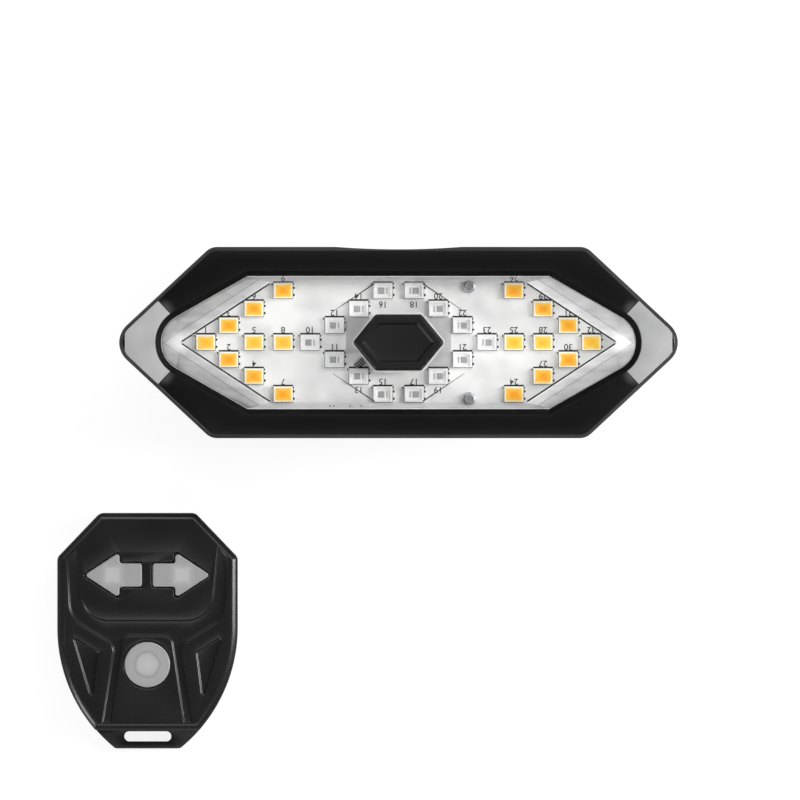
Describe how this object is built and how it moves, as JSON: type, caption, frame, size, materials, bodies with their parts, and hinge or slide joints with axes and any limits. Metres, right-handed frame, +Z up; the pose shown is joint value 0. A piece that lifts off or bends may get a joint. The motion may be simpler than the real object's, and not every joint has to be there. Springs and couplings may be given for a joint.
{
  "type": "bicycle turn signal light",
  "caption": "Hexagonal rear lamp with amber arrow fields, brake field and seat post bracket, with its small wireless handset.",
  "frame": {"origin": "middle of the footprint of the lamp and handset lying on a table", "axes": "+X along the lamp, +Y up the picture, +Z up from the table, out of the lamp's face"},
  "size_m": [0.113, 0.0916, 0.0322],
  "materials": {
    "housing_black": "fine moulded texture",
    "bezel_black": "satin",
    "lens_clear": "clear polished polycarbonate",
    "guide_frosted": "frosted translucent",
    "seal_rubber": "matte",
    "screw_steel": "zinc plated",
    "button_black": "satin",
    "plunger_black": "matte",
    "switch_steel": "stamped steel",
    "board_white": "white solder mask",
    "led_amber": "phosphor under clear resin",
    "led_clear": "clear resin",
    "board_green": "green solder mask",
    "chip_black": "moulded epoxy",
    "socket_steel": "nickel plated",
    "header_black": "moulded",
    "battery_wrap": "aluminium laminate pouch",
    "foam_grey": "foam tape",
    "lead_insulation": "silicone insulation",
    "cover_rubber": "matte",
    "bracket_black": "fine moulded texture",
    "pad_rubber": "matte",
    "shell_black": "fine moulded texture",
    "key_frosted": "frosted translucent",
    "cell_steel": "polished steel",
    "contact_steel": "nickel plated",
    "coil_copper": "enamelled copper",
    "core_ceramic": "white ceramic",
    "pad_grey": "matte"
  },
  "bodies": {
    "lamp": {"rear_housing": "housing_black", "front_bezel": "bezel_black", "clear_lens": "lens_clear", "light_guide_left": "guide_frosted", "light_guide_right": "guide_frosted", "housing_seal": "seal_rubber", "housing_screws": "screw_steel", "button_switch": "switch_steel", "led_board": "board_white", "board_screws": "screw_steel", "amber_leds_left": "led_amber", "amber_leds_right": "led_amber", "brake_leds": "led_clear", "control_board": "board_green", "control_chips": "chip_black", "charging_socket": "socket_steel", "board_header": "header_black", "battery_cell": "battery_wrap", "battery_tape": "foam_grey", "battery_leads": "lead_insulation", "antenna_coil": "coil_copper", "coil_core": "core_ceramic", "switch_pad": "pad_grey"},
    "power_button": {"power_button": "button_black", "button_plunger": "plunger_black"},
    "charging_cover": {"usb_cover": "cover_rubber"},
    "bracket": {"seat_post_bracket": "bracket_black", "saddle_pad": "pad_rubber"},
    "handset": {"handset_base": "shell_black", "handset_lid": "shell_black", "handset_seal": "seal_rubber", "handset_screws": "screw_steel", "handset_board": "board_green", "key_switches": "switch_steel", "handset_chip": "chip_black", "coin_cell": "cell_steel", "positive_contact": "contact_steel", "negative_contact": "contact_steel"},
    "left_arrow_key": {"left_arrow_key": "key_frosted", "left_key_plunger": "plunger_black"},
    "right_arrow_key": {"right_arrow_key": "key_frosted", "right_key_plunger": "plunger_black"},
    "mode_key": {"mode_key": "key_frosted", "mode_key_plunger": "plunger_black"},
    "cell_cover": {"cell_cover": "shell_black", "cell_cover_seal": "seal_rubber"}
  },
  "joints": [
    {"name": "power_button_press", "type": "slide", "parent": "lamp", "child": "power_button", "axis": [0, 0, -1], "range_m": [0, 0.0005], "stiffness_N_per_m": 1000, "springref_m": -0.001},
    {"name": "charging_cover_swing", "type": "hinge", "parent": "lamp", "child": "charging_cover", "pos_m": [-0.0004, 0.01162, 0.01957], "axis": [0, 0, -1], "range_deg": [0, 110], "stiffness_Nm_per_rad": 0.002},
    {"name": "bracket_slide", "type": "slide", "parent": "lamp", "child": "bracket", "axis": [0, -1, 0], "range_m": [0, 0.029]},
    {"name": "handset_lift", "type": "slide", "parent": "lamp", "child": "handset", "axis": [0, 0, 1], "range_m": [0, 0.05]},
    {"name": "left_arrow_key_press", "type": "slide", "parent": "handset", "child": "left_arrow_key", "axis": [0, 0, -1], "range_m": [0, 0.0005], "stiffness_N_per_m": 1000, "springref_m": -0.001},
    {"name": "right_arrow_key_press", "type": "slide", "parent": "handset", "child": "right_arrow_key", "axis": [0, 0, -1], "range_m": [0, 0.0005], "stiffness_N_per_m": 1000, "springref_m": -0.001},
    {"name": "mode_key_press", "type": "slide", "parent": "handset", "child": "mode_key", "axis": [0, 0, -1], "range_m": [0, 0.0005], "stiffness_N_per_m": 1000, "springref_m": -0.001},
    {"name": "cell_cover_turn", "type": "hinge", "parent": "handset", "child": "cell_cover", "pos_m": [-0.0401, -0.02133, 0.0002], "axis": [0, 0, -1], "range_deg": [0, 90]}
  ]
}
